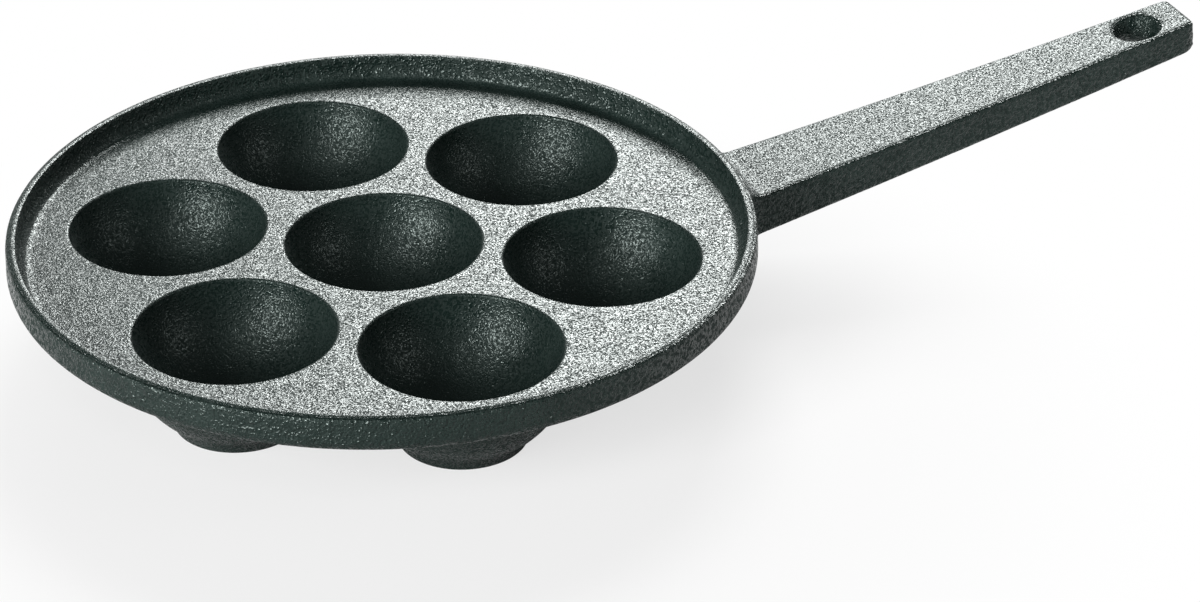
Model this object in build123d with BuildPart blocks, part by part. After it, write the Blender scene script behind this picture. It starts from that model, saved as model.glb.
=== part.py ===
from build123d import *

import os
from math import cos, radians, sin, sqrt

os.makedirs("parts", exist_ok=True)

# Aebleskiver pan: one iron casting with seven round wells, a low rim and a flat bar handle.
# Sizes are in millimetres. The origin is on the pan's axis, in the plane that the feet stand on.
# +Z is up, and +X runs out along the handle.
# The casting is written as regions that meet face to face along its own edges:
# the deck between the wells, the rim round it, each well with its foot, and the handle.

# Wells, which set the size of the pan: one in the middle and a ring of wells round it
outer_well_count = 6
well_mouth_radius = 30.2
well_spacing = 7.1
well_depth = 26.4
well_wall = 3.8
well_floor = 4.2
mouth_rounding = 0.8
neck_ledge = 0.85
well_root_fillet = 5.0

# Feet, each one the flat bottom of a well
foot_radius = 19.4
foot_taper = 1.4
foot_height = 3.4
foot_rounding = 0.8

# Deck and rim, where the deck's margin runs from an outer well's mouth to the rim's inner wall
deck_margin = 13.8
deck_thickness = 4.5
deck_fillet = 4.0
rim_thickness = 3.4
rim_height = 7.5
rim_inner_lean = 1.0
rim_outer_lean = 0.4
rim_outer_rounding = 1.9
rim_inner_rounding = 0.5
rim_seam_land = 0.2
belly_rounding = 4.0

# Handle, a tapered bar that rises from the rim's lower edge
handle_length = 163.7
handle_root_width = 31.8
handle_tip_width = 18.8
handle_root_thickness = 13.9
handle_tip_thickness = 10.4
handle_root_drop = 2.4
handle_tip_rise = 27.9
handle_sag = 0.6
handle_corner_radius = 5.0
handle_edge_rounding = 1.2
handle_flare_run = 5.0
handle_flare_rise = 4.5
handle_flare_fillet = 9.0
handle_side_flare = 3.5
handle_side_flare_reach = 5.0

# Rib under the handle's root, which runs in below the rim and dies out on the deck's underside
rib_reach = 22.0
rib_heel_reach = 7.3
rib_inner_width = 20.0
rib_nose_rounding = 8.0

# Hanging hole, tapered from both faces to a short straight land
hole_mouth_radius = 7.9
hole_throat_radius = 5.8
hole_land = 2.0
hole_to_tip = 18.4

# One overrun carries every cut clear of the face that it passes
overrun = 5.0

# Radii that follow from the wells. The seam lies on the flat of the deck, just inside its fillet.
well_pitch = 2 * well_mouth_radius + well_spacing
rim_inner_radius = well_pitch + well_mouth_radius + deck_margin
pan_radius = rim_inner_radius + rim_thickness
rim_seam_radius = rim_inner_radius - rim_inner_lean - deck_fillet - rim_seam_land

# One well, where the deck's own height is counted from the feet and the rest from the deck's top
deck_height = well_depth + well_floor
foot_top = foot_height - deck_height
foot_top_radius = foot_radius + foot_taper
bowl_radius = (well_mouth_radius**2 + well_depth**2) / (2 * well_depth)
bowl_centre = bowl_radius - well_depth
shell_radius = bowl_radius + well_wall
shell_centre = foot_top + sqrt(shell_radius**2 - foot_top_radius**2)

# The root fillet rolls between the deck's underside and the well's outside.
# It meets the deck at root_radius and the well at shoulder_radius, and the neck stands on a ledge inside.
root_centre_height = -deck_thickness - well_root_fillet
root_radius = sqrt((shell_radius + well_root_fillet) ** 2 - (root_centre_height - shell_centre) ** 2)
shell_share = shell_radius / (shell_radius + well_root_fillet)
shoulder_radius = root_radius * shell_share
shoulder = shell_centre + (root_centre_height - shell_centre) * shell_share
neck_radius = shoulder_radius - neck_ledge


def plane_at(x, y):
    """Upright plane at a place on the deck, whose own height is counted from the deck's top."""
    return Plane(origin=(x, y, deck_height), x_dir=(1, 0, 0), z_dir=(0, -1, 0))


def bulge(start, end, radius, centre_height):
    """Arc round a centre on the axis, from one point to another."""
    middle = (Vector(*start) + Vector(*end)) / 2
    spoke = middle - Vector(0, centre_height)
    crown = Vector(0, centre_height) + spoke * (radius / spoke.length)
    return ThreePointArc(start, (crown.X, crown.Y), end)


def rim_outside():
    """Outside of the rim, from the deck's underside round the belly and over the rim's top."""
    return FilletPolyline(
        (rim_seam_radius, -deck_thickness),
        (pan_radius, -deck_thickness),
        (pan_radius - rim_outer_lean, rim_height),
        (rim_inner_radius, rim_height),
        radius=[belly_rounding, rim_outer_rounding],
    )


axis_plane = plane_at(0, 0)
well_places = {"well_centre": (0, 0)}
for number in range(outer_well_count):
    turn = radians((number + 0.5) * 360 / outer_well_count)
    well_places[f"well_{number + 1}"] = (well_pitch * cos(turn), well_pitch * sin(turn))

# Rim, a ring that starts on the flat of the deck, just short of the fillet at the wall's foot
with BuildPart() as rim:
    with BuildSketch(axis_plane) as rim_section:
        with BuildLine():
            outside = rim_outside()
            inside = FilletPolyline(
                outside @ 1,
                (rim_inner_radius - rim_inner_lean, 0),
                (rim_seam_radius, 0),
                radius=[deck_fillet],
            )
            Line(inside @ 1, outside @ 0)
        make_face()
        rim_edge = rim_section.vertices().sort_by_distance((rim_inner_radius, rim_height))[0]
        fillet(rim_edge, rim_inner_rounding)
    revolve(axis=Axis.Z)
rim.part.label = "rim"
export_step(rim.part, "parts/rim.step")

# Deck, a plate whose underside swells into a root round each well
with BuildPart() as deck:
    with BuildSketch(Plane.XY.offset(deck_height)):
        Circle(rim_seam_radius)
    extrude(amount=-deck_thickness)
    for x, y in well_places.values():
        with BuildSketch(plane_at(x, y)):
            with BuildLine():
                root_top = Line((0, -deck_thickness), (root_radius, -deck_thickness))
                root_side = RadiusArc(root_top @ 1, (shoulder_radius, shoulder), well_root_fillet)
                root_base = Line(root_side @ 1, (0, shoulder))
                Line(root_base @ 1, root_top @ 0)
            make_face()
        revolve(axis=Axis((x, y, 0), (0, 0, 1)))
    with Locations(*[(x, y, deck_height) for x, y in well_places.values()]):
        Hole(neck_radius, depth=deck_height)
deck.part.label = "deck"
export_step(deck.part, "parts/deck.step")

# Wells, each a round bowl whose neck fills its place in the deck and whose outside ends in a flat foot
for name, (x, y) in well_places.items():
    with BuildPart() as well:
        with BuildSketch(plane_at(x, y)) as well_section:
            with BuildLine():
                floor = Line((0, -well_depth), (0, -deck_height))
                sole = Line(floor @ 1, (foot_radius, -deck_height))
                foot_side = Line(sole @ 1, (foot_top_radius, foot_top))
                shell = bulge((foot_top_radius, foot_top), (shoulder_radius, shoulder), shell_radius, shell_centre)
                ledge = Line(shell @ 1, (neck_radius, shoulder))
                neck = Line(ledge @ 1, (neck_radius, 0))
                lip = Line(neck @ 1, (well_mouth_radius, 0))
                bulge((well_mouth_radius, 0), (0, -well_depth), bowl_radius, bowl_centre)
            make_face()
            corners = well_section.vertices()
            fillet(corners.sort_by_distance((well_mouth_radius, 0))[0], mouth_rounding)
            fillet(corners.sort_by_distance((foot_radius, -deck_height))[0], foot_rounding)
        revolve(axis=Axis((x, y, 0), (0, 0, 1)))
    well.part.label = name
    export_step(well.part, f"parts/{name}.step")

# Handle, the overlap of its side view and its plan, cut to the pan's outside at the root
handle_tip = pan_radius + handle_length
handle_slope = (handle_tip_rise + handle_root_drop) / handle_length
handle_thinning = (handle_root_thickness - handle_tip_thickness) / handle_length
handle_tip_under = handle_tip_rise - handle_tip_thickness
handle_root_under = -handle_root_drop - handle_root_thickness
handle_middle = pan_radius + handle_length / 2
rib_end = pan_radius - rib_reach
flare_start = pan_radius + handle_flare_run
flare_start_height = handle_slope * handle_flare_run - handle_root_drop
flare_top = flare_start_height + handle_flare_rise
root_half = handle_root_width / 2
tip_half = handle_tip_width / 2
side_flare_end = pan_radius - handle_side_flare_reach
side_flare_half = root_half + handle_side_flare
hole_x = handle_tip - hole_to_tip
hole_top = handle_tip_rise - handle_slope * hole_to_tip
hole_middle = hole_top - (handle_tip_thickness + handle_thinning * hole_to_tip) / 2
hole_taper = (hole_mouth_radius - hole_throat_radius) / ((handle_tip_thickness - hole_land) / 2)
hole_cut = handle_tip_thickness / 2 + overrun
hole_cut_radius = hole_throat_radius + hole_taper * (hole_cut - hole_land / 2)

with BuildPart() as handle:
    with BuildSketch(axis_plane) as side_view:
        with BuildLine():
            top = ThreePointArc(
                (flare_start, flare_start_height),
                (handle_middle, (handle_tip_rise - handle_root_drop) / 2 - handle_sag),
                (handle_tip - handle_tip_thickness * handle_slope, handle_tip_rise),
            )
            nose = Line(top @ 1, (handle_tip, handle_tip_under))
            under = ThreePointArc(
                nose @ 1,
                (handle_middle, (handle_tip_under + handle_root_under) / 2 - handle_sag),
                (pan_radius, handle_root_under),
            )
            rib = FilletPolyline(
                under @ 1,
                (pan_radius - rib_heel_reach, handle_root_under - handle_slope * rib_heel_reach),
                (rib_end, -deck_thickness),
                radius=[rib_nose_rounding],
            )
            inner_end = Line(rib @ 1, (rib_end, 0))
            cover = Line(inner_end @ 1, (rim_inner_radius, 0))
            flare = Line(cover @ 1, (rim_inner_radius, flare_top))
            Line(flare @ 1, top @ 0)
        make_face()
        flare_corner = side_view.vertices().sort_by_distance((flare_start, flare_start_height))[0]
        fillet(flare_corner, handle_flare_fillet)
    extrude(amount=handle_root_width, both=True)
    with BuildSketch(Plane.XY) as plan:
        with BuildLine():
            right = FilletPolyline(
                (rib_end, -rib_inner_width / 2),
                (side_flare_end, -side_flare_half),
                (flare_start, -root_half),
                (handle_tip, -tip_half),
                (handle_tip, tip_half),
                (flare_start, root_half),
                (side_flare_end, side_flare_half),
                (rib_end, rib_inner_width / 2),
                radius=[
                    belly_rounding,
                    handle_flare_fillet,
                    0,
                    0,
                    handle_flare_fillet,
                    belly_rounding,
                ],
            )
            Line(right @ 1, right @ 0)
        make_face()
    extrude(amount=deck_height + handle_tip_rise + overrun, mode=Mode.INTERSECT)
    end_edges = handle.faces().sort_by(Axis.X)[-1].edges()
    fillet(end_edges - end_edges.filter_by(Axis.Y), handle_corner_radius)
    broad_edges = handle.faces().sort_by(SortBy.AREA)[-2:].edges()
    bar_edges = broad_edges.filter_by_position(Axis.X, flare_start + handle_flare_fillet, handle_tip)
    fillet(bar_edges, handle_edge_rounding)
    with BuildSketch(axis_plane):
        with BuildLine():
            wall = rim_outside()
            wall_top = Line(wall @ 1, (0, rim_height))
            wall_axis = Line(wall_top @ 1, (0, -deck_thickness))
            Line(wall_axis @ 1, wall @ 0)
        make_face()
    revolve(axis=Axis.Z, mode=Mode.SUBTRACT)
    with BuildSketch(plane_at(hole_x, 0)):
        with BuildLine():
            hole_side = Polyline(
                (0, hole_middle - hole_cut),
                (hole_cut_radius, hole_middle - hole_cut),
                (hole_throat_radius, hole_middle - hole_land / 2),
                (hole_throat_radius, hole_middle + hole_land / 2),
                (hole_cut_radius, hole_middle + hole_cut),
                (0, hole_middle + hole_cut),
            )
            Line(hole_side @ 1, hole_side @ 0)
        make_face()
    revolve(axis=Axis((hole_x, 0, 0), (0, 0, 1)), mode=Mode.SUBTRACT)
handle.part.label = "handle"
export_step(handle.part, "parts/handle.step")
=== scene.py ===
"""Looks of an aebleskiver pan: one sand-cast iron body with seven round wells and a bar handle."""

import math

import bmesh
import bpy
from mathutils import Matrix, Vector


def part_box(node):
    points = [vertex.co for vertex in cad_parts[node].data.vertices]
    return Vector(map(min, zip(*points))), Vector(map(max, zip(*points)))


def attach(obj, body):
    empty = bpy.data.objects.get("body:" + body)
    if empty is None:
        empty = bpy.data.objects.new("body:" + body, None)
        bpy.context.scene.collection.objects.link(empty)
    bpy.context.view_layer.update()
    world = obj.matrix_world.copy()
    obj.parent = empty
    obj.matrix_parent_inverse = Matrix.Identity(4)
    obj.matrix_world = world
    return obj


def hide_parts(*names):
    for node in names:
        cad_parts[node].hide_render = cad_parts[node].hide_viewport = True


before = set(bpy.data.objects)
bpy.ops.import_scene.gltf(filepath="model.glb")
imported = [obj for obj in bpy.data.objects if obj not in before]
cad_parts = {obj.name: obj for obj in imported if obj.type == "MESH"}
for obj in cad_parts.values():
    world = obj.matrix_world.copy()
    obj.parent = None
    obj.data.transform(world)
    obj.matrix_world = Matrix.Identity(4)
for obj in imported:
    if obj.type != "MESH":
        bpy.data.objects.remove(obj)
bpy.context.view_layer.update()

bl_info = {
    "name": "Aebleskiver pan",
    "version": (1, 0, 0),
    "blender": (4, 5, 0),
    "location": "View3D > Sidebar > Pan",
    "description": "Builds the iron surfaces of the pan, piece by piece, and the studio round it",
    "category": "Object",
}

RIM_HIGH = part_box("rim")[1]
DECK_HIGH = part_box("deck")[1]
HANDLE_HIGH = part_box("handle")[1]
OUTER_WELL = sum(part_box("well_1"), Vector()) / 2
FIRST_TURN = math.atan2(OUTER_WELL.y, OUTER_WELL.x)
WELL_NODES = sorted(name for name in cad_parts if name.startswith("well_"))

# Turns round the pan in degrees: from one outer well to the next, and half of that.
WELL_TURN = 60
HALF_TURN = 30

# Lengths of the short pieces that stand for a curve (ARC) or divide a straight stretch (RUN), in metres.
RIM_ARC = 0.0004
RIM_RUN = 0.0009
LIP_ARC = 0.0002
LIP_RUN = 0.0008
FOOT_RUN = 0.004
HANDLE_ARC = 0.0005

# Numbers of steps: of what is turned round an axis, and of what is divided evenly.
RIM_STEPS = 480
WELL_STEPS = 144
HOLE_STEPS = 96
BOWL_STEPS = 54
SHELL_STEPS = 18
DECK_TOP_STEPS = 12
DECK_UNDER_STEPS = 14
SAG_STEPS = 40

# Points nearer than this are one point.
MERGE_DISTANCE = 0.000002

# Angles in degrees from which an edge of the handle is bevelled, or an edge of a piece looks sharp.
BEVEL_FROM = 40
PIECE_SHARP_FROM = 38
HANDLE_SHARP_FROM = 75

# Softening of the handle's edges, and then of its small faces.
BEVEL_SEGMENTS = 4
RELAX_SHARE = 0.5
RELAX_ROUNDS = 6

# What the fine grain, the ripple and the pinholes add to the height of the grain.
FINE_WEIGHT = 0.45
RIPPLE_WEIGHT = 0.8
PIT_WEIGHT = -0.5

# Values between which a mask of the iron goes from one side to the other.
PIT_EDGE = (0.08, 0.24)
PATCH_EDGE = (0.35, 0.65)
DRY_EDGE = (0.42, 0.54)
WALL_EDGE = (0.6, 0.9)
WORN_EDGE = (0.515, 0.56)

# The camera's sensor in millimetres, and how far it sees in metres.
SENSOR_WIDTH = 36
CAMERA_REACH = 50


def length(name, description, default):
    """A size in metres, as a user sets it."""
    return bpy.props.FloatProperty(
        name=name, description=description, default=default, precision=5, unit="LENGTH"
    )


def share(name, description, default):
    """A part of a whole, such as a roughness."""
    return bpy.props.FloatProperty(name=name, description=description, default=default, subtype="FACTOR")


def strength(name, description, default):
    """A plain number, such as a panel's brightness."""
    return bpy.props.FloatProperty(name=name, description=description, default=default)


def angle(name, description, degrees):
    """An angle, given in degrees."""
    return bpy.props.FloatProperty(
        name=name, description=description, default=math.radians(degrees), subtype="ANGLE"
    )


def colour(name, description, default):
    """A colour, as red, green and blue."""
    return bpy.props.FloatVectorProperty(
        name=name, description=description, default=default, size=3, min=0, max=1, subtype="COLOR"
    )


class PanSizes(bpy.types.PropertyGroup):
    """Sizes of the casting. Heights of the wells and the rim count down from the deck's top."""

    skin: length("Skin", "How far the wavy surface stays inside the plain one", 0.00008)
    deck_height: length("Deck height", "Height of the deck's top above the feet", DECK_HIGH.z)
    deck_thickness: length("Deck thickness", "Thickness of the plate between the wells", 0.0045)
    seam_radius: length("Seam radius", "Radius at which the deck gives way to the rim", DECK_HIGH.x)

    rim_radius: length("Rim radius", "Outside radius of the pan", RIM_HIGH.y)
    rim_height: length("Rim height", "Height of the rim above the deck", RIM_HIGH.z - DECK_HIGH.z)
    rim_thickness: length("Rim thickness", "Thickness of the rim's wall at its top", 0.0034)
    rim_inner_lean: length("Inner lean", "How far the inner wall leans out as it rises", 0.001)
    rim_outer_lean: length("Outer lean", "How far the outer wall leans in as it rises", 0.0004)
    rim_outer_rounding: length("Outer rounding", "Radius along the rim's outer top edge", 0.0019)
    rim_inner_rounding: length("Inner rounding", "Radius along the rim's inner top edge", 0.0006)
    belly_rounding: length("Belly rounding", "Radius where the outer wall turns under", 0.004)
    deck_fillet: length("Deck fillet", "Radius where the deck meets the rim", 0.004)

    mouth_radius: length("Mouth radius", "Radius of a well's mouth", 0.0302)
    mouth_rounding: length("Mouth rounding", "Radius of a well's lip", 0.0009)
    well_depth: length("Well depth", "Depth of a well below the deck", 0.0264)
    well_wall: length("Well wall", "Thickness of a well's round wall", 0.0038)
    well_pitch: length(
        "Well pitch", "Distance from the middle well to the next", OUTER_WELL.xy.length
    )
    root_fillet: length("Root fillet", "Radius between a well's outside and the deck's underside", 0.005)
    neck_ledge: length("Neck ledge", "Step between a well's neck and its outside", 0.00085)
    foot_radius: length("Foot radius", "Radius of the flat foot under a well", 0.0194)
    foot_taper: length("Foot taper", "How much wider the foot is at its top", 0.0014)
    foot_height: length("Foot height", "Height of the foot's straight side", 0.0034)
    foot_rounding: length("Foot rounding", "Radius along the foot's lower edge", 0.0008)

    handle_tip: length("Handle tip", "Distance of the handle's end from the pan's axis", HANDLE_HIGH.x)
    handle_rise: length(
        "Handle rise", "Height of the handle's end above the deck", HANDLE_HIGH.z - DECK_HIGH.z
    )
    handle_drop: length("Handle drop", "How far the handle's top starts below the deck", 0.0024)
    root_width: length("Root width", "Width of the handle at the rim", 0.0318)
    tip_width: length("Tip width", "Width of the handle at its end", 0.0188)
    root_thickness: length("Root thickness", "Thickness of the handle at the rim", 0.0139)
    tip_thickness: length("Tip thickness", "Thickness of the handle at its end", 0.0104)
    handle_sag: length("Handle sag", "How far the handle dips below a straight line", 0.0006)
    corner_radius: length("Corner radius", "Radius of the handle's end corners, seen from above", 0.005)
    edge_rounding: length("Edge rounding", "Radius along the handle's edges", 0.0012)
    flare_run: length("Flare run", "Distance over which the handle widens into the rim", 0.005)
    flare_rise: length("Flare rise", "How far the handle's top climbs the rim", 0.0045)
    flare_fillet: length("Flare fillet", "Radius of the bend into the flare", 0.009)
    side_flare: length("Side flare", "How far each side spreads at the rim", 0.0035)
    side_reach: length("Side reach", "How far the side flare runs on inside the rim", 0.005)
    rib_reach: length("Rib reach", "How far the rib runs in under the rim", 0.022)
    rib_heel: length("Rib heel", "How far the handle's underside runs on below the rim", 0.0073)
    rib_width: length("Rib width", "Width of the rib's inner end", 0.02)
    rib_rounding: length("Rib rounding", "Radius of the rib's lower corner", 0.008)
    root_bite: length("Root bite", "How far the handle is let into the rim's wall", 0.0023)
    hole_mouth: length("Hole mouth", "Radius of the hanging hole at the handle's faces", 0.0079)
    hole_throat: length("Hole throat", "Radius of the hanging hole at its middle", 0.0058)
    hole_land: length("Hole land", "Length of the straight part of the hole", 0.002)
    hole_to_tip: length("Hole to tip", "Distance of the hole from the handle's end", 0.0184)
    facet: length("Facet", "Size of the handle's small faces", 0.00045)


class CastFinish(bpy.types.PropertyGroup):
    """Colour and grain of the iron."""

    iron: colour("Iron", "Colour of the dark iron", (0.004, 0.0095, 0.008))
    bloom: colour("Bloom", "Colour of the dry, paler patches", (0.007, 0.014, 0.012))
    sheen: colour("Sheen", "Tint of the iron's mirror light", (0.86, 1.0, 0.95))
    gloss: share("Gloss", "Strength of the iron's mirror light", 0.36)
    smooth: share("Smooth roughness", "Roughness on the tops of the grain", 0.18)
    handle_smooth: share("Handle roughness", "Roughness on the tops of the handle's grain", 0.26)
    wall_smooth: share("Wall roughness", "Roughness on the tops of the grain on upright walls", 0.13)
    bowl_smooth: share("Bowl roughness", "Roughness on the tops of the grain inside the wells", 0.12)
    dry: share("Dry roughness", "Roughness between the grains", 0.8)
    edge_polish: share("Edge polish", "How much smoother the handled edges are", 0.12)
    grain_size: length("Grain size", "Size of the sand grain", 0.00056)
    grain_depth: length("Grain depth", "Depth of the sand grain", 0.00013)
    fine_size: length("Fine size", "Size of the finest grain", 0.00025)
    wall_grain_size: length("Wall grain size", "Size of the grain on upright walls", 0.0012)
    wall_grain_depth: length("Wall grain depth", "Depth of the grain on upright walls", 0.00048)
    bowl_grain_size: length("Bowl grain size", "Size of the grain inside the wells", 0.00078)
    bowl_grain_depth: length("Bowl grain depth", "Depth of the grain inside the wells", 0.00018)
    bowl_lip: length("Bowl lip", "Height over which the grain turns coarser below a lip", 0.0014)
    ripple_size: length("Ripple size", "Size of the small waves under the grain", 0.004)
    pit_spacing: strength("Pit spacing", "Distance between the pinholes, counted in grains", 1.6)
    patch_size: length("Patch size", "Size of the paler patches", 0.018)
    lump_size: length("Lump size", "Size of the slow waves in the cast surface", 0.011)
    lump_depth: length("Lump depth", "Height of the slow waves", 0.00009)


class StudioLook(bpy.types.PropertyGroup):
    """Camera, floor and lights."""

    camera_turn: angle("Camera turn", "Turn of the camera round the pan", -22.5135)
    camera_lift: angle("Camera lift", "Angle at which the camera looks down", 30.3054)
    camera_roll: angle("Camera roll", "Turn of the picture", 0.1431)
    camera_distance: length("Camera distance", "Distance from the camera to its aim", 1.1373165)
    aim_x: length("Aim X", "Point the camera looks at", 0.0473785)
    aim_y: length("Aim Y", "Point the camera looks at", -0.0586881)
    lens: bpy.props.FloatProperty(
        name="Lens", description="Focal length on a 36 mm sensor", default=114.576, unit="CAMERA"
    )
    floor_colour: colour("Floor", "Colour of the table", (0.6, 0.6, 0.6))
    floor_size: length("Floor size", "Half width of the table", 6.0)
    shade_x: length("Shade X", "Middle of the table's shaded part", -0.01)
    shade_y: length("Shade Y", "Middle of the table's shaded part", -0.07)
    white_near: share("White near", "How much of the table near the pan is seen as plain white", 0.71)
    white_from: length("White from", "Distance at which the table starts to fade to white", 0.09)
    white_to: length("White to", "Distance at which the table is plain white", 0.23)
    back_light: strength("Back light", "Brightness of the panel behind the pan", 26.5)
    side_light: strength("Side light", "Brightness of the panel at the front left", 20.5)
    low_light: strength("Low light", "Brightness of the low panel at the front left", 30.0)
    front_light: strength("Front light", "Brightness of the panel above the camera", 4.2)
    right_light: strength("Right light", "Brightness of the panel at the right", 4.0)
    light_x: length("Light X", "Point the panels face, on the handle's side of the axis", 0.03)
    backdrop_top: share("Backdrop top", "Rise of a ray that clears the white backdrop", 0.3)
    room: strength("Room", "Brightness of the room", 0.12)


def arc_points(centre, radius, start, end, steps):
    """Points on an arc, both ends included."""
    return [
        (
            centre[0] + radius * math.cos(start + (end - start) * step / steps),
            centre[1] + radius * math.sin(start + (end - start) * step / steps),
        )
        for step in range(steps + 1)
    ]


def rounded(corners, step, closed=True):
    """Outline through corners given as (x, y, radius), its round stretches cut into short steps."""
    outline = []
    count = len(corners)
    for index, (x, y, radius) in enumerate(corners):
        corner = Vector((x, y))
        before = Vector(corners[index - 1][:2]) - corner
        after = Vector(corners[(index + 1) % count][:2]) - corner
        at_end = not closed and index in (0, count - 1)
        if radius == 0 or at_end:
            outline.append((x, y))
            continue
        before.normalize()
        after.normalize()
        half = before.angle(after) / 2
        first = corner + before * (radius / math.tan(half))
        last = corner + after * (radius / math.tan(half))
        centre = corner + (before + after).normalized() * (radius / math.sin(half))
        start = math.atan2(*(first - centre).yx)
        sweep = (math.atan2(*(last - centre).yx) - start + math.pi) % (2 * math.pi) - math.pi
        steps = max(2, round(abs(sweep) * radius / step))
        outline += arc_points(centre, radius, start, start + sweep, steps)
    return outline


def divided(outline, step):
    """The same open outline with its long runs cut into equal steps."""
    points = [outline[0]]
    for point in outline[1:]:
        start = Vector(points[-1])
        run = Vector(point) - start
        steps = max(1, math.ceil(run.length / step))
        points += [tuple(start + run * (index / steps)) for index in range(1, steps + 1)]
    return points


def sagging_line(start, end, sag):
    """Points on a shallow curve that dips in its middle, both ends included."""
    steps = SAG_STEPS
    return [
        (
            start[0] + (end[0] - start[0]) * index / steps,
            start[1] + (end[1] - start[1]) * index / steps - 4 * sag * (index / steps) * (1 - index / steps),
        )
        for index in range(steps + 1)
    ]


class Well:
    """Places on one well, worked out from the sizes. Heights count from the deck's top."""

    def __init__(self, sizes):
        mouth = sizes.mouth_radius
        depth = sizes.well_depth
        self.bowl_radius = (mouth**2 + depth**2) / (2 * depth)
        self.bowl_centre = self.bowl_radius - depth
        self.floor = -sizes.deck_height
        self.foot_top = self.floor + sizes.foot_height
        self.foot_top_radius = sizes.foot_radius + sizes.foot_taper
        self.shell_radius = self.bowl_radius + sizes.well_wall
        self.shell_centre = self.foot_top + math.sqrt(self.shell_radius**2 - self.foot_top_radius**2)
        self.fillet = sizes.root_fillet
        self.fillet_centre = -sizes.deck_thickness - self.fillet
        reach = self.shell_radius + self.fillet
        self.root_radius = math.sqrt(reach**2 - (self.fillet_centre - self.shell_centre) ** 2)
        shell_share = self.shell_radius / reach
        self.shoulder_radius = self.root_radius * shell_share
        self.shoulder = self.shell_centre + (self.fillet_centre - self.shell_centre) * shell_share
        self.neck_radius = self.shoulder_radius - sizes.neck_ledge

    def underside(self, radius):
        """Height of the deck's underside at a distance from the well's axis."""
        inward = max(0.0, self.root_radius - radius)
        return self.fillet_centre + math.sqrt(max(0.0, self.fillet**2 - inward**2))


def new_object(name, data):
    """An object in the scene, unturned and at the origin."""
    item = bpy.data.objects.new(name, data)
    bpy.context.scene.collection.objects.link(item)
    return item


def profile_object(name, points, closed):
    """A flat curve for a tree to sweep. Its X is the distance from the axis, and its Y points down."""
    curve = bpy.data.curves.new(name, "CURVE")
    curve.dimensions = "3D"
    spline = curve.splines.new("POLY")
    spline.points.add(len(points) - 1)
    for spot, (x, y) in zip(spline.points, points):
        spot.co = (x, -y, 0, 1)
    spline.use_cyclic_u = closed
    return new_object(name, curve)


def mesh_object(name, vertices, faces):
    """A mesh object from lists of points and faces."""
    mesh = bpy.data.meshes.new(name)
    mesh.from_pydata(vertices, [], faces)
    mesh.update()
    return new_object(name, mesh)


def solid_object(name, vertices, faces):
    """A closed mesh object, its faces turned outwards."""
    item = mesh_object(name, vertices, faces)
    work = bmesh.new()
    work.from_mesh(item.data)
    bmesh.ops.recalc_face_normals(work, faces=work.faces)
    work.to_mesh(item.data)
    work.free()
    return item


def plain_mesh(source, name, sharp_degrees=PIECE_SHARP_FROM):
    """The finished mesh of an object with live modifiers, which is then removed."""
    bpy.context.view_layer.update()
    evaluated = source.evaluated_get(bpy.context.evaluated_depsgraph_get())
    mesh = bpy.data.meshes.new_from_object(evaluated)
    mesh.name = name
    source.modifiers.clear()
    bpy.data.objects.remove(source)
    mesh.shade_smooth()
    mesh.set_sharp_from_angle(angle=math.radians(sharp_degrees))
    return new_object(name, mesh)


def hand_over(piece, *nodes):
    """Puts a finished piece in the place of its regions of the casting."""
    if not piece.data.polygons:
        raise RuntimeError(f"{piece.name} came out empty")
    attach(piece, "root")
    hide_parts(*nodes)


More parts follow.
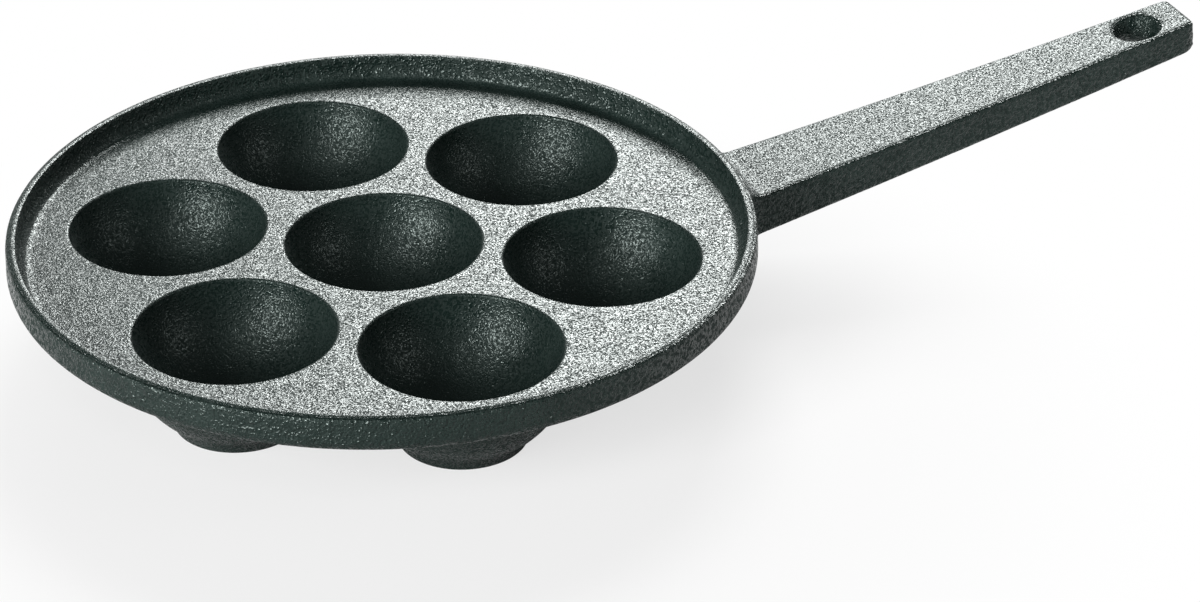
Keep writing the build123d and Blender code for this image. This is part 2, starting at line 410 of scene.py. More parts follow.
class Tree:
    """A node tree that is written line by line."""

    def __init__(self, name="", kind="GeometryNodeTree", group=None):
        self.group = group or bpy.data.node_groups.new(name, kind)
        self.nodes = self.group.nodes
        self.entry = None

    def inputs(self, kind, *names, **defaults):
        """Named inputs of the group, those without a value of their own first."""
        for name in names:
            self.group.interface.new_socket(name=name, in_out="INPUT", socket_type=kind)
        for name, default in defaults.items():
            name = name.replace("_", " ")
            socket = self.group.interface.new_socket(name=name, in_out="INPUT", socket_type=kind)
            socket.default_value = default

    def outputs(self, kind, *names):
        """Named outputs of the group."""
        for name in names:
            self.group.interface.new_socket(name=name, in_out="OUTPUT", socket_type=kind)

    def value(self, name):
        """Output of the group's own input of that name."""
        if self.entry is None:
            self.entry = self.nodes.new("NodeGroupInput")
        return self.entry.outputs[name]

    def passed(self, *names):
        """The group's own inputs of those names, handed on to another group."""
        return {name: self.value(name) for name in names}

    def add(self, kind, inputs=None, **settings):
        """A node with its settings made, and its inputs linked or filled in."""
        node = self.nodes.new(kind)
        for key, setting in settings.items():
            setattr(node, key, setting)
        for key, source in (inputs or {}).items():
            if isinstance(source, bpy.types.NodeSocket):
                self.group.links.new(source, node.inputs[key])
            else:
                node.inputs[key].default_value = source
        return node

    def call(self, name, inputs):
        """Outputs of another group, used as a node of this one."""
        kind = "GeometryNodeGroup" if self.group.bl_idname == "GeometryNodeTree" else "ShaderNodeGroup"
        return self.add(kind, inputs, node_tree=bpy.data.node_groups[name]).outputs

    def math(self, operation, *inputs):
        """A calculation with plain numbers."""
        return self.add("ShaderNodeMath", dict(enumerate(inputs)), operation=operation).outputs[0]

    def vector(self, operation, *inputs):
        """A calculation with vectors."""
        return self.add("ShaderNodeVectorMath", dict(enumerate(inputs)), operation=operation).outputs[0]

    def part(self, source, axis):
        """One coordinate of a vector."""
        return self.add("ShaderNodeSeparateXYZ", {0: source}).outputs[axis]

    def joined(self, **coordinates):
        """A vector from its coordinates. Those left out are 0."""
        return self.add("ShaderNodeCombineXYZ", coordinates).outputs[0]

    def fade(self, value, edge, start=0.0, end=1.0, smooth=False):
        """A value that runs from start to end while another crosses an edge."""
        return self.add(
            "ShaderNodeMapRange",
            {"Value": value, "From Min": edge[0], "From Max": edge[1], "To Min": start, "To Max": end},
            interpolation_type="SMOOTHSTEP" if smooth else "LINEAR",
        ).outputs[0]

    def mix(self, factor, first, second):
        """A number between two others."""
        return self.add("ShaderNodeMix", {"Factor": factor, "A": first, "B": second}).outputs[0]

    def mix_colour(self, factor, first, second):
        """A colour between two others."""
        colours = {"Factor": factor, "A": (*first, 1), "B": (*second, 1)}
        return self.add("ShaderNodeMix", colours, data_type="RGBA").outputs[2]

    def finish(self, **outputs):
        """Leads the outputs out of the group."""
        exit_node = self.nodes.new("NodeGroupOutput")
        for name, source in outputs.items():
            self.group.links.new(source, exit_node.inputs[name.replace("_", " ")])
        return self.group


def lay_tree(item, group, **values):
    """Puts a tree on an object, with its inputs set by their identifiers."""
    modifier = item.modifiers.new(group.name, "NODES")
    identifiers = {
        socket.name: socket.identifier
        for socket in group.interface.items_tree
        if socket.item_type == "SOCKET" and socket.in_out == "INPUT"
    }
    for name, value in values.items():
        modifier[identifiers[name.replace("_", " ")]] = value
    modifier.node_group = group


def empty_tree(item):
    """The node tree of a new material or world, with nothing in it yet."""
    item.use_nodes = True
    item.node_tree.nodes.clear()
    return Tree(group=item.node_tree)


def cast_skin_tree():
    """Warps a piece a little, the same way at the same place, so that regions still meet."""
    tree = Tree("cast_skin")
    tree.inputs("NodeSocketGeometry", "Geometry")
    tree.inputs("NodeSocketFloat", Lump_Size=0.011, Lump_Depth=0.0001, Foot_Height=0.0034)
    tree.outputs("NodeSocketGeometry", "Geometry")
    place = tree.add("GeometryNodeInputPosition").outputs[0]
    scale = tree.math("DIVIDE", 1.0, tree.value("Lump Size"))
    noise = tree.add("ShaderNodeTexNoise", {"Vector": place, "Scale": scale, "Detail": 0.5})
    centred = tree.vector("SUBTRACT", noise.outputs["Color"], (0.5, 0.5, 0.5))
    depth = tree.value("Lump Depth")
    shift = tree.add("ShaderNodeVectorMath", {0: centred, "Scale": depth}, operation="SCALE").outputs[0]
    rise = tree.math("DIVIDE", tree.part(place, "Z"), tree.value("Foot Height"))
    hold = tree.add("ShaderNodeClamp", {"Value": rise}).outputs[0]
    keep = tree.joined(X=1.0, Y=1.0, Z=hold)
    moved = tree.add(
        "GeometryNodeSetPosition",
        {"Geometry": tree.value("Geometry"), "Offset": tree.vector("MULTIPLY", shift, keep)},
    )
    return tree.finish(Geometry=moved.outputs[0])


def merged(tree, source):
    """The same mesh with its doubled points made one."""
    inputs = {"Geometry": source, "Distance": MERGE_DISTANCE}
    return tree.add("GeometryNodeMergeByDistance", inputs).outputs[0]


def profile_sockets(tree, radius, steps):
    """Inputs of what is turned from a profile."""
    tree.inputs("NodeSocketGeometry", "Profile")
    tree.inputs("NodeSocketFloat", Path_Radius=radius)
    tree.inputs("NodeSocketInt", Steps=steps)


def ring_sockets(tree):
    """Inputs of what repeats round the pan."""
    tree.inputs("NodeSocketInt", Count=len(WELL_NODES) - 1)
    tree.inputs("NodeSocketFloat", Pitch=OUTER_WELL.xy.length, First_Turn=FIRST_TURN)


def turned_tree():
    """Turns a profile round the upright axis. The profile counts from the path's radius."""
    tree = Tree("turned_profile")
    profile_sockets(tree, 0.03, WELL_STEPS)
    tree.outputs("NodeSocketGeometry", "Mesh")
    path = tree.add(
        "GeometryNodeCurvePrimitiveCircle",
        {"Resolution": tree.value("Steps"), "Radius": tree.value("Path Radius")},
    )
    swept = tree.add(
        "GeometryNodeCurveToMesh", {"Curve": path.outputs["Curve"], "Profile Curve": tree.value("Profile")}
    )
    return tree.finish(Mesh=merged(tree, swept.outputs[0]))


def ring_tree():
    """Sets copies of a piece round the axis, each turned to face outwards."""
    tree = Tree("ring_of_copies")
    tree.inputs("NodeSocketGeometry", "Piece")
    ring_sockets(tree)
    tree.outputs("NodeSocketGeometry", "Copies")
    out = tree.joined(X=tree.value("Pitch"))
    piece = tree.add("GeometryNodeTransform", {"Geometry": tree.value("Piece"), "Translation": out})
    points = tree.add("GeometryNodePoints", {"Count": tree.value("Count")})
    step = tree.math("DIVIDE", math.tau, tree.value("Count"))
    index = tree.add("GeometryNodeInputIndex").outputs[0]
    turn = tree.math("MULTIPLY_ADD", index, step, tree.value("First Turn"))
    rotation = tree.add("FunctionNodeEulerToRotation", {0: tree.joined(Z=turn)}).outputs[0]
    copies = tree.add(
        "GeometryNodeInstanceOnPoints",
        {"Points": points.outputs[0], "Instance": piece.outputs[0], "Rotation": rotation},
    )
    return tree.finish(Copies=copies.outputs[0])


def with_ring(tree, middle, piece):
    """A piece in the middle and a ring of copies of another round it."""
    ring = tree.call("ring_of_copies", {"Piece": piece} | tree.passed("Count", "Pitch", "First Turn"))
    both = tree.add("GeometryNodeJoinGeometry")
    for source in (middle, ring[0]):
        tree.group.links.new(source, both.inputs[0])
    return both.outputs[0]


def turned(tree):
    """A tree's own profile, turned."""
    return tree.call("turned_profile", tree.passed("Profile", "Path Radius", "Steps"))[0]


def skin_sockets(tree, finish):
    """Inputs that every piece's tree has for its skin, place and iron, and its output."""
    tree.inputs("NodeSocketFloat", Lump_Size=finish.lump_size, Lump_Depth=finish.lump_depth)
    tree.inputs("NodeSocketFloat", Foot_Height=0.0034, Deck_Height=DECK_HIGH.z)
    tree.inputs("NodeSocketMaterial", "Iron")
    tree.outputs("NodeSocketGeometry", "Geometry")


def close_tree(tree, source):
    """Raises a piece to the deck's height, roughens it and gives it its iron."""
    raise_by = tree.joined(Z=tree.value("Deck Height"))
    raised = tree.add("GeometryNodeTransform", {"Geometry": source, "Translation": raise_by})
    realized = tree.add("GeometryNodeRealizeInstances", {"Geometry": raised.outputs[0]})
    piece = {"Geometry": merged(tree, realized.outputs[0])}
    skinned = tree.call("cast_skin", piece | tree.passed("Lump Size", "Lump Depth", "Foot Height"))
    dressed = tree.add("GeometryNodeSetMaterial", {"Geometry": skinned[0], "Material": tree.value("Iron")})
    return tree.finish(Geometry=dressed.outputs[0])


def rim_tree(finish):
    """The rim, turned from its profile."""
    tree = Tree("rim_ring")
    profile_sockets(tree, 0.11, RIM_STEPS)
    skin_sockets(tree, finish)
    return close_tree(tree, turned(tree))


def wells_tree(finish):
    """The well in the middle and the ring of wells round it, all turned from one profile."""
    tree = Tree("well_pattern")
    profile_sockets(tree, 0.03, WELL_STEPS)
    ring_sockets(tree)
    skin_sockets(tree, finish)
    well = turned(tree)
    return close_tree(tree, with_ring(tree, well, well))


def deck_tree(finish):
    """The middle well's share of the deck, and the outer wells' shares round it."""
    tree = Tree("deck_pattern")
    tree.inputs("NodeSocketGeometry", "Middle")
    tree.inputs("NodeSocketObject", "Outer Cell")
    ring_sockets(tree)
    skin_sockets(tree, finish)
    cell = tree.add("GeometryNodeObjectInfo", {"Object": tree.value("Outer Cell")}).outputs["Geometry"]
    return close_tree(tree, with_ring(tree, tree.value("Middle"), cell))


def skin_tree(finish):
    """The skin alone, for a piece that is already in its place."""
    tree = Tree("handle_skin")
    tree.inputs("NodeSocketGeometry", "Geometry")
    skin_sockets(tree, finish)
    return close_tree(tree, tree.value("Geometry"))


def skin_values(sizes, finish, iron):
    """Values of the inputs that every piece's tree has, its iron given by name."""
    return {
        "Lump_Size": finish.lump_size,
        "Lump_Depth": finish.lump_depth,
        "Foot_Height": sizes.foot_height,
        "Deck_Height": sizes.deck_height,
        "Iron": bpy.data.materials[iron],
    }


def cast_grain_group():
    """Sand grain, small pits and slow patches over a cast surface."""
    tree = Tree("cast_grain", "ShaderNodeTree")
    tree.inputs("NodeSocketVector", "Vector")
    tree.inputs("NodeSocketFloat", Grain_Size=0.0006, Fine_Size=0.0003, Pit_Size=0.001)
    tree.inputs("NodeSocketFloat", Ripple_Size=0.004, Patch_Size=0.02)
    tree.outputs("NodeSocketFloat", "Height", "Speckle", "Patches")
    place = tree.value("Vector")

    def pattern(size):
        return {"Vector": place, "Scale": tree.math("DIVIDE", 1.0, tree.value(size))}

    def noise(size, detail, roughness):
        inputs = pattern(size) | {"Detail": detail, "Roughness": roughness}
        return tree.add("ShaderNodeTexNoise", inputs).outputs["Fac"]

    grain = noise("Grain Size", detail=1.0, roughness=0.6)
    fine = noise("Fine Size", detail=0.0, roughness=0.5)
    ripple = noise("Ripple Size", detail=1.0, roughness=0.5)
    patches = noise("Patch Size", detail=3.0, roughness=0.6)
    cells = tree.add("ShaderNodeTexVoronoi", pattern("Pit Size") | {"Randomness": 1.0})
    pit = tree.fade(cells.outputs["Distance"], PIT_EDGE, start=1.0, end=0.0, smooth=True)
    both_grains = tree.math("MULTIPLY_ADD", fine, FINE_WEIGHT, grain)
    on_ripple = tree.math("MULTIPLY_ADD", ripple, RIPPLE_WEIGHT, both_grains)
    height = tree.math("MULTIPLY_ADD", pit, PIT_WEIGHT, on_ripple)
    return tree.finish(Height=height, Speckle=grain, Patches=tree.fade(patches, PATCH_EDGE, smooth=True))


def edge_wear_group():
    """Mask of the edges that handling polishes first."""
    tree = Tree("edge_wear", "ShaderNodeTree")
    tree.inputs("NodeSocketFloat", Amount=1.0, Speckle=0.5)
    tree.outputs("NodeSocketFloat", "Mask")
    pointed = tree.add("ShaderNodeNewGeometry").outputs["Pointiness"]
    edge = tree.fade(pointed, WORN_EDGE, smooth=True)
    broken = tree.math("MULTIPLY", edge, tree.value("Speckle"))
    return tree.finish(Mask=tree.math("MULTIPLY", broken, tree.value("Amount")))


def grain_of_size(tree, place, size, fine_size, finish):
    """The grain at one size of sand."""
    return tree.call(
        "cast_grain",
        {
            "Vector": place,
            "Grain Size": size,
            "Fine Size": fine_size,
            "Ripple Size": finish.ripple_size,
            "Pit Size": size * finish.pit_spacing,
            "Patch Size": finish.patch_size,
        },
    )


def cast_iron(name, finish, top_smooth, coarse, bowl_top=None):
    """Seasoned sand-cast iron: near black, faintly green. Its walls and bowls have a grain of their own.

    The coarse grain of those is given as its size, its depth and the roughness of its tops.
    """
    coarse_size, coarse_depth, coarse_smooth = coarse
    tree = empty_tree(bpy.data.materials.new(name))
    place = tree.add("ShaderNodeTexCoord").outputs["Object"]
    normal = tree.add("ShaderNodeTexCoord").outputs["Normal"]
    plain_grain = grain_of_size(tree, place, finish.grain_size, finish.fine_size, finish)
    coarse_grain = grain_of_size(tree, place, coarse_size, coarse_size / 2, finish)
    wall = tree.fade(tree.part(normal, "Z"), WALL_EDGE, start=1.0, end=0.0)
    if bowl_top is not None:
        lip = (bowl_top - finish.bowl_lip, bowl_top)
        wall = tree.math("MAXIMUM", wall, tree.fade(tree.part(place, "Z"), lip, start=1.0, end=0.0))
    plain_height = tree.math("MULTIPLY", plain_grain["Height"], finish.grain_depth)
    coarse_height = tree.math("MULTIPLY", coarse_grain["Height"], coarse_depth)
    height = tree.mix(wall, plain_height, coarse_height)
    speckle = tree.mix(wall, plain_grain["Speckle"], coarse_grain["Speckle"])
    wear = tree.call("edge_wear", {"Amount": finish.edge_polish, "Speckle": speckle})
    rough = tree.fade(speckle, DRY_EDGE, start=finish.dry, end=tree.mix(wall, top_smooth, coarse_smooth))
    bump = tree.add("ShaderNodeBump", {"Distance": 1.0, "Height": height})
    shader = tree.add(
        "ShaderNodeBsdfPrincipled",
        {
            "Base Color": tree.mix_colour(plain_grain["Patches"], finish.iron, finish.bloom),
            "Roughness": tree.math("SUBTRACT", rough, wear["Mask"]),
            "Normal": bump.outputs[0],
            "Specular IOR Level": finish.gloss,
            "Specular Tint": (*finish.sheen, 1),
        },
    )
    tree.add("ShaderNodeOutputMaterial", {"Surface": shader.outputs[0]})


def prepare_iron(finish):
    """Makes the shared trees and the iron itself, once."""
    if "cast_iron" in bpy.data.materials:
        return
    cast_skin_tree()
    turned_tree()
    ring_tree()
    cast_grain_group()
    edge_wear_group()
    wall_grain = (finish.wall_grain_size, finish.wall_grain_depth, finish.wall_smooth)
    cast_iron("cast_iron", finish, finish.smooth, wall_grain)
    cast_iron("cast_iron_handle", finish, finish.handle_smooth, wall_grain)
    bowl_grain = (finish.bowl_grain_size, finish.bowl_grain_depth, finish.bowl_smooth)
    cast_iron("cast_iron_bowls", finish, finish.smooth, bowl_grain, DECK_HIGH.z)


def start_piece(context):
    """The sizes and the finish, once the iron is there."""
    prepare_iron(context.scene.pan_finish)
    return context.scene.pan_sizes, context.scene.pan_finish


def cell_corners(sizes, outer):
    """Directions of the corners of a well's share of the deck, and the distance to its border."""
    half_pitch = sizes.well_pitch / 2
    if not outer:
        count = 360 // WELL_TURN
        sides = [math.radians(HALF_TURN + WELL_TURN * index) for index in range(count)]
        corners = [math.radians(WELL_TURN * index) for index in range(count + 1)]

        def border(turn):
            return half_pitch / max(math.cos(turn - side) for side in sides)

        return corners, border
    seam = sizes.seam_radius
    half_turn = math.radians(HALF_TURN)
    corner = Vector((seam * math.cos(half_turn) - sizes.well_pitch, seam * math.sin(half_turn)))
    turn_out = math.atan2(corner.y, corner.x)
    inner_corners = [math.radians(180 - HALF_TURN), math.radians(180 + HALF_TURN)]
    corners = [-turn_out, turn_out, *inner_corners, math.tau - turn_out]
    sides = [math.radians(side) for side in (180 - WELL_TURN, 180, 180 + WELL_TURN)]

    def border(turn):
        if abs((turn + math.pi) % math.tau - math.pi) <= turn_out:
            along = sizes.well_pitch * math.cos(turn)
            return math.sqrt(along**2 - sizes.well_pitch**2 + seam**2) - along
        return half_pitch / max(math.cos(turn - side) for side in sides)

    return corners, border


def deck_cell(name, sizes, outer):
    """A well's share of the deck: the plate from the neck out to the border with the next share."""
    steps, top_steps, under_steps = WELL_STEPS, DECK_TOP_STEPS, DECK_UNDER_STEPS
    well = Well(sizes)
    corners, border = cell_corners(sizes, outer)
    turns = []
    on_rim = []
    for index, (start, end) in enumerate(zip(corners, corners[1:])):
        count = max(2, round((end - start) / (math.tau / steps)))
        turns += [start + (end - start) * step / count for step in range(count)]
        on_rim += [outer and index == 0] * count
    vertices = []
    for turn in turns:
        edge = border(turn)
        column = []
        for step in range(top_steps + 1):
            column.append((well.neck_radius + (edge - well.neck_radius) * step / top_steps, 0.0))
        for step in range(under_steps + 1):
            radius = edge + (well.shoulder_radius - edge) * step / under_steps
            column.append((radius, well.underside(radius)))
        column.append((well.neck_radius, well.shoulder))
        vertices += [(radius * math.cos(turn), radius * math.sin(turn), height) for radius, height in column]
    rows = len(vertices) // len(turns)
    faces = []
    for index, rim_side in enumerate(on_rim):
        here = index * rows
        there = (index + 1) % len(turns) * rows
        for row in range(rows):
            if row == top_steps and not rim_side:
                continue
            next_row = (row + 1) % rows
            faces.append((here + row, here + next_row, there + next_row, there + row))
    return mesh_object(name, vertices, faces)


class PAN_OT_deck(bpy.types.Operator):
    """Cast the deck, the plate between the wells"""

    bl_idname = "pan.deck"
    bl_label = "Deck"

    def execute(self, context):
        sizes, finish = start_piece(context)
        middle = deck_cell("middle_cell", sizes, outer=False)
        outer = deck_cell("outer_cell", sizes, outer=True)
        lay_tree(
            middle,
            deck_tree(finish),
            Outer_Cell=outer,
            Count=len(WELL_NODES) - 1,
            Pitch=sizes.well_pitch,
            First_Turn=FIRST_TURN,
            **skin_values(sizes, finish, "cast_iron"),
        )
        piece = plain_mesh(middle, "deck_plate")
        bpy.data.objects.remove(outer)
        hand_over(piece, "deck")
        return {"FINISHED"}


class PAN_OT_rim(bpy.types.Operator):
    """Cast the rim, swept round the pan"""

    bl_idname = "pan.rim"
    bl_label = "Rim"

    def execute(self, context):
        sizes, finish = start_piece(context)
        outside = sizes.rim_radius - sizes.skin
        inside = outside - sizes.rim_thickness
        top = sizes.rim_height - sizes.skin
        floor = -sizes.deck_thickness
        corners = [
            (sizes.seam_radius, 0, 0),
            (inside - sizes.rim_inner_lean, 0, sizes.deck_fillet),
            (inside, top, sizes.rim_inner_rounding),
            (outside - sizes.rim_outer_lean, top, sizes.rim_outer_rounding),
            (outside, floor, sizes.belly_rounding),
            (sizes.seam_radius, floor, 0),
        ]
        outline = divided(rounded(corners, RIM_ARC), RIM_RUN)
        path = sizes.seam_radius
        profile = profile_object("rim_profile", [(x - path, y) for x, y in outline], closed=True)
        values = skin_values(sizes, finish, "cast_iron")
        lay_tree(profile, rim_tree(finish), Path_Radius=path, Steps=RIM_STEPS, **values)
        hand_over(plain_mesh(profile, "rim_ring"), "rim")
        return {"FINISHED"}


class PAN_OT_wells(bpy.types.Operator):
    """Cast the wells, each a round bowl on its own flat foot"""

    bl_idname = "pan.wells"
    bl_label = "Wells"

    def execute(self, context):
        sizes, finish = start_piece(context)
        well = Well(sizes)
        mouth_turn = math.atan2(-well.bowl_centre, sizes.mouth_radius)
        bowl = arc_points((0, well.bowl_centre), well.bowl_radius, -math.pi / 2, mouth_turn, BOWL_STEPS)
        mouth = (sizes.mouth_radius, 0, sizes.mouth_rounding)
        lip = rounded([(*bowl[-2], 0), mouth, (well.neck_radius, 0, 0)], LIP_ARC, closed=False)
        shell_start = math.atan2(well.shoulder - well.shell_centre, well.shoulder_radius)
        shell_end = math.atan2(well.foot_top - well.shell_centre, well.foot_top_radius)
        shell = arc_points((0, well.shell_centre), well.shell_radius, shell_start, shell_end, SHELL_STEPS)
        toe = (sizes.foot_radius, well.floor, sizes.foot_rounding)
        foot = rounded([(*shell[-1], 0), toe, (0, well.floor, 0)], LIP_ARC, closed=False)
        inside = bowl[:-2] + divided(lip, LIP_RUN)
        outside = [(well.neck_radius, well.shoulder)] + shell[:-1] + divided(foot, FOOT_RUN)
        path = well.neck_radius
        profile = profile_object("well_profile", [(x - path, y) for x, y in inside + outside], closed=False)
        lay_tree(
            profile,
            wells_tree(finish),
            Path_Radius=path,
            Steps=WELL_STEPS,
            Count=len(WELL_NODES) - 1,
            Pitch=sizes.well_pitch,
            First_Turn=FIRST_TURN,
            **skin_values(sizes, finish, "cast_iron_bowls"),
        )
        hand_over(plain_mesh(profile, "well_bowls"), *WELL_NODES)
        return {"FINISHED"}


def prism(name, outline, low, high, upright):
    """A solid with a flat outline: seen from above if upright, and otherwise from the side."""
    def place(x, y, level):
        return (x, y, level) if upright else (x, level, y)

    count = len(outline)
    vertices = [place(x, y, low) for x, y in outline] + [place(x, y, high) for x, y in outline]
    faces = [tuple(range(count)), tuple(range(2 * count - 1, count - 1, -1))]
    for index in range(count):
        after = (index + 1) % count
        faces.append((index, after, after + count, index + count))
    return solid_object(name, vertices, faces)


def turned_solid(name, outline, x):
    """A closed solid turned round an upright axis at a place along the handle."""
    steps = HOLE_STEPS
    vertices = []
    for step in range(steps):
        turn = math.tau * step / steps
        along, across = math.cos(turn), math.sin(turn)
        vertices += [(x + radius * along, radius * across, height) for radius, height in outline]
    rows = len(outline)
    faces = []
    for step in range(steps):
        here = step * rows
        there = (step + 1) % steps * rows
        faces += [(here + row, there + row, there + row + 1, here + row + 1) for row in range(rows - 1)]
    faces.append(tuple(step * rows for step in reversed(range(steps))))
    faces.append(tuple(step * rows + rows - 1 for step in range(steps)))
    return solid_object(name, vertices, faces)


def handle_outlines(sizes):
    """Side view and plan of the handle, and its slope. Heights count from the deck's top."""
    pan = sizes.rim_radius
    tip = sizes.handle_tip - sizes.skin
    rise = sizes.handle_rise - sizes.skin
    run = tip - pan
    slope = (rise + sizes.handle_drop) / run
    top_end = (tip - sizes.tip_thickness * slope, rise)
    tip_under = (tip, rise - sizes.tip_thickness)
    root_under = (pan, -sizes.handle_drop - sizes.root_thickness)
    flare_start = (pan + sizes.flare_run, slope * sizes.flare_run - sizes.handle_drop)
    inside = pan - sizes.root_bite
    flare_foot = pan - sizes.rim_thickness
    climb = sizes.flare_rise / (flare_start[0] - flare_foot)
    inner_top = (inside, flare_start[1] + (flare_start[0] - inside) * climb)
    # The bar ends inside the deck, two thirds of the way down, where nothing of it shows.
    under_deck = -sizes.deck_thickness * 2 / 3
    flare = (*flare_start, sizes.flare_fillet)
    bend = rounded([(*inner_top, 0), flare, (*top_end, 0)], HANDLE_ARC, closed=False)
    top = sagging_line(bend[-2], top_end, sizes.handle_sag)
    under = sagging_line(tip_under, root_under, sizes.handle_sag)
    heel = (pan - sizes.rib_heel, root_under[1] - slope * sizes.rib_heel, sizes.rib_rounding)
    rib_end = pan - sizes.rib_reach
    rib = rounded([(*under[-1], 0), heel, (rib_end, -sizes.deck_thickness, 0)], HANDLE_ARC, closed=False)
    side = bend[:-2] + top + under[:-1] + rib + [(rib_end, under_deck), (inside, under_deck)]
    root_half = sizes.root_width / 2
    tip_half = sizes.tip_width / 2
    flare_half = root_half + sizes.side_flare
    upper = [
        (rib_end, sizes.rib_width / 2, 0),
        (pan - sizes.side_reach, flare_half, sizes.belly_rounding),
        (flare_start[0], root_half, sizes.flare_fillet),
        (tip, tip_half, sizes.corner_radius),
    ]
    plan = rounded(upper + [(x, -y, radius) for x, y, radius in reversed(upper)], HANDLE_ARC)
    return side, plan, slope


class PAN_OT_handle(bpy.types.Operator):
    """Cast the handle, a tapered bar with a hanging hole"""

    bl_idname = "pan.handle"
    bl_label = "Handle"

    def execute(self, context):
        sizes, finish = start_piece(context)
        side, plan, slope = handle_outlines(sizes)
        bar = prism("bar", side, -sizes.root_width, sizes.root_width, upright=False)
        outline = prism("bar_plan", plan, -sizes.deck_height, sizes.deck_height, upright=True)
        hole_x = sizes.handle_tip - sizes.hole_to_tip
        thinning = (sizes.root_thickness - sizes.tip_thickness) / (sizes.handle_tip - sizes.rim_radius)
        thickness = sizes.tip_thickness + thinning * sizes.hole_to_tip
        middle = sizes.handle_rise - slope * sizes.hole_to_tip - thickness / 2
        taper = (sizes.hole_mouth - sizes.hole_throat) / ((sizes.tip_thickness - sizes.hole_land) / 2)
        half_land = sizes.hole_land / 2
        cut = sizes.tip_thickness
        wide = sizes.hole_throat + taper * (cut - half_land)
        waist = [
            (wide, middle - cut),
            (sizes.hole_throat, middle - half_land),
            (sizes.hole_throat, middle + half_land),
            (wide, middle + cut),
        ]
        hole = turned_solid("hole", waist, hole_x)
        for name, operation, other in (("trim", "INTERSECT", outline), ("pierce", "DIFFERENCE", hole)):
            modifier = bar.modifiers.new(name, "BOOLEAN")
            modifier.operation = operation
            modifier.solver = "EXACT"
            modifier.object = other
        soften = bar.modifiers.new("soften", "BEVEL")
        soften.width = sizes.edge_rounding
        soften.segments = BEVEL_SEGMENTS
        soften.limit_method = "ANGLE"
        soften.angle_limit = math.radians(BEVEL_FROM)
        soften.use_clamp_overlap = False
        even = bar.modifiers.new("even", "REMESH")
        even.mode = "VOXEL"
        even.voxel_size = sizes.facet
        relax = bar.modifiers.new("relax", "SMOOTH")
        relax.factor = RELAX_SHARE
        relax.iterations = RELAX_ROUNDS
        lay_tree(bar, skin_tree(finish), **skin_values(sizes, finish, "cast_iron_handle"))
        piece = plain_mesh(bar, "handle_bar", sharp_degrees=HANDLE_SHARP_FROM)
        bpy.data.objects.remove(outline)
        bpy.data.objects.remove(hole)
        hand_over(piece, "handle")
        return {"FINISHED"}


def ray_kinds(tree):
    """Whether a ray comes from the camera, and whether it comes off a gloss or through glass."""
    paths = tree.add("ShaderNodeLightPath").outputs
    return paths["Is Camera Ray"], tree.math("MAXIMUM", paths["Is Glossy Ray"], paths["Is Transmission Ray"])


def floor_material(studio):
    """Pale table that keeps the pan's shadow and fades to plain white further out."""
    material = bpy.data.materials.new("table")
    tree = empty_tree(material)
    place = tree.add("ShaderNodeTexCoord").outputs["Object"]
    from_shade = tree.vector("SUBTRACT", place, (studio.shade_x, studio.shade_y, 0))
    away = tree.add("ShaderNodeVectorMath", {0: from_shade}, operation="LENGTH").outputs["Value"]
    fade = tree.fade(away, (studio.white_from, studio.white_to), smooth=True)
    camera_ray, bounced_ray = ray_kinds(tree)
    near = tree.math("MULTIPLY_ADD", fade, 1 - studio.white_near, studio.white_near)
    direct = tree.math("MULTIPLY", camera_ray, near)
    whiteness = tree.math("MAXIMUM", direct, tree.math("MULTIPLY", bounced_ray, fade))
    table = tree.add("ShaderNodeBsdfDiffuse", {"Color": (*studio.floor_colour, 1)})
    white = tree.add("ShaderNodeEmission", {"Color": (1, 1, 1, 1), "Strength": 1.0})
    mixed = tree.add("ShaderNodeMixShader", {0: whiteness, 1: table.outputs[0], 2: white.outputs[0]})
    tree.add("ShaderNodeOutputMaterial", {"Surface": mixed.outputs[0]})
    return material


def room_world(studio):
    """Dim room whose white backdrop is seen by the camera, and in the gloss near the horizon."""
    world = bpy.data.worlds.new("room")
    tree = empty_tree(world)
    camera_ray, bounced_ray = ray_kinds(tree)
    rise = tree.part(tree.add("ShaderNodeTexCoord").outputs["Object"], "Z")
    backdrop = tree.fade(rise, (0.0, studio.backdrop_top), start=1.0, end=0.0, smooth=True)
    seen = tree.math("MAXIMUM", camera_ray, tree.math("MULTIPLY", bounced_ray, backdrop))
    level = tree.fade(seen, (0.0, 1.0), start=studio.room, end=1.0)
    room = tree.add("ShaderNodeBackground", {"Color": (1, 1, 1, 1), "Strength": level})
    tree.add("ShaderNodeOutputWorld", {"Surface": room.outputs[0]})
    return world


def axes(turn, lift, roll=0.0):
    """Right, up and back of what looks at a point from a turn round it and a lift above it."""
    back = Vector((math.sin(turn) * math.cos(lift), -math.cos(turn) * math.cos(lift), math.sin(lift)))
    right = Vector((math.cos(turn), math.sin(turn), 0))
    up = back.cross(right)
    return (
        right * math.cos(roll) + up * math.sin(roll),
        up * math.cos(roll) - right * math.sin(roll),
        back,
    )


def set_up(item, aim, distance, directions):
    """Puts a lamp or a camera at a distance from the point it looks at."""
    place = Matrix.Translation(aim + directions[2] * distance)
    item.matrix_world = place @ Matrix(directions).transposed().to_4x4()


def panel_light(name, aim, turn, lift, distance, width, height, brightness):
    """Soft panel that faces a point and isn't seen itself, its turn and lift in degrees."""
    data = bpy.data.lights.new(name, "AREA")
    data.shape = "RECTANGLE"
    data.size = width
    data.size_y = height
    data.energy = brightness * math.pi * width * height
    item = new_object(name, data)
    set_up(item, aim, distance, axes(math.radians(turn), math.radians(lift)))
    item.visible_camera = False


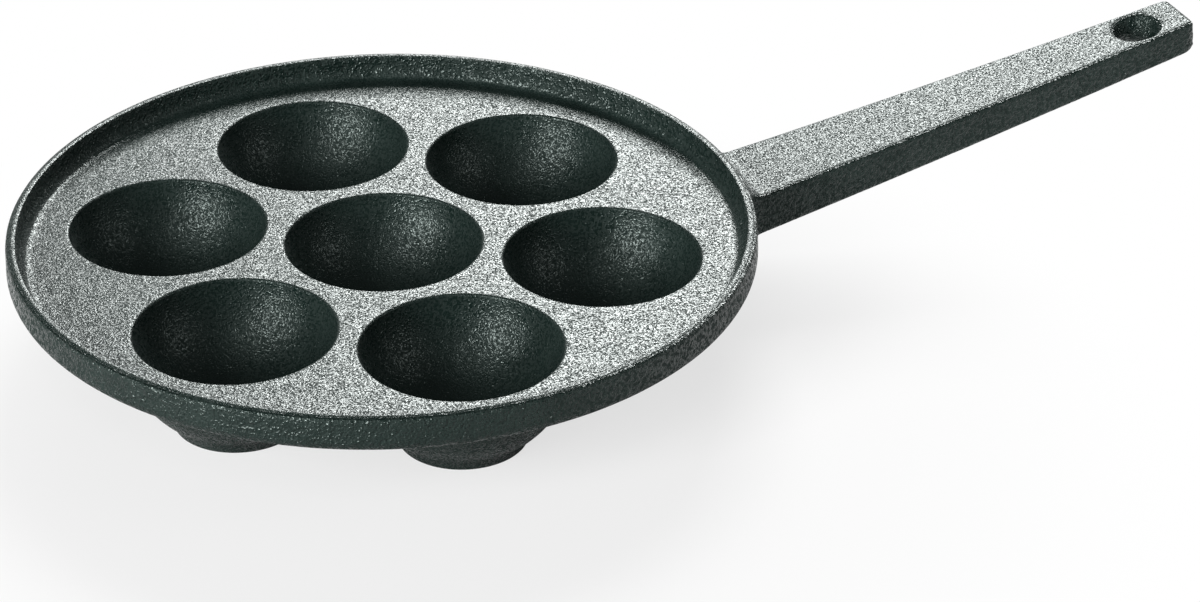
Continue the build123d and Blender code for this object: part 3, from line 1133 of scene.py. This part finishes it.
class PAN_OT_stage(bpy.types.Operator):
    """Set the table, the soft panels, the room and the camera"""

    bl_idname = "pan.stage"
    bl_label = "Stage"

    def execute(self, context):
        scene = context.scene
        studio = scene.pan_studio
        sizes = scene.pan_sizes
        half = studio.floor_size
        corners = [(-half, -half, 0), (half, -half, 0), (half, half, 0), (-half, half, 0)]
        table = mesh_object("table", corners, [(0, 1, 2, 3)])
        table.data.materials.append(floor_material(studio))

        camera = bpy.data.cameras.new("camera")
        camera.lens = studio.lens
        camera.sensor_width = SENSOR_WIDTH
        camera.sensor_fit = "HORIZONTAL"
        camera.clip_end = CAMERA_REACH
        scene.camera = new_object("camera", camera)
        aim = Vector((studio.aim_x, studio.aim_y, sizes.deck_height))
        view = axes(studio.camera_turn, studio.camera_lift, studio.camera_roll)
        set_up(scene.camera, aim, studio.camera_distance, view)

        middle = Vector((studio.light_x, 0.0, sizes.deck_height))
        for name, turn, lift, distance, width, height, brightness in (
            ("back_panel", 153, 32, 1.7, 0.8, 0.6, studio.back_light),
            ("side_panel", -68, 24, 2.4, 0.95, 1.0, studio.side_light),
            ("low_panel", -62, 9, 2.4, 0.9, 0.4, studio.low_light),
            ("front_panel", -34, 50, 2.4, 0.9, 0.7, studio.front_light),
            ("right_panel", 60, 25, 2.4, 0.9, 0.7, studio.right_light),
        ):
            panel_light(name, middle, turn, lift, distance, width, height, brightness)

        scene.world = room_world(studio)
        scene.view_settings.view_transform = "Standard"
        return {"FINISHED"}


class VIEW3D_PT_pan(bpy.types.Panel):
    """Sizes, finish and steps of the pan"""

    bl_idname = "VIEW3D_PT_pan"
    bl_label = "Aebleskiver pan"
    bl_space_type = "VIEW_3D"
    bl_region_type = "UI"
    bl_category = "Pan"

    def draw(self, context):
        layout = self.layout
        for step in STEPS:
            layout.operator(step.bl_idname)
        for group in (context.scene.pan_sizes, context.scene.pan_finish, context.scene.pan_studio):
            box = layout.box()
            for name in group.bl_rna.properties.keys():
                if name not in ("rna_type", "name"):
                    box.prop(group, name)


GROUPS = {"pan_sizes": PanSizes, "pan_finish": CastFinish, "pan_studio": StudioLook}
STEPS = (PAN_OT_deck, PAN_OT_rim, PAN_OT_wells, PAN_OT_handle, PAN_OT_stage)


def register():
    """Registers the classes, and gives the scene its three groups of values."""
    for group in GROUPS.values():
        bpy.utils.register_class(group)
    for step in STEPS:
        bpy.utils.register_class(step)
    bpy.utils.register_class(VIEW3D_PT_pan)
    for name, group in GROUPS.items():
        setattr(bpy.types.Scene, name, bpy.props.PointerProperty(type=group))


def unregister():
    """Takes back all that register has done."""
    for name in GROUPS:
        delattr(bpy.types.Scene, name)
    bpy.utils.unregister_class(VIEW3D_PT_pan)
    for step in reversed(STEPS):
        bpy.utils.unregister_class(step)
    for group in reversed(GROUPS.values()):
        bpy.utils.unregister_class(group)


def main():
    """Makes the pieces in order, then the stage."""
    register()
    bpy.ops.pan.deck()
    bpy.ops.pan.rim()
    bpy.ops.pan.wells()
    bpy.ops.pan.handle()
    bpy.ops.pan.stage()


if __name__ == "__main__":
    main()
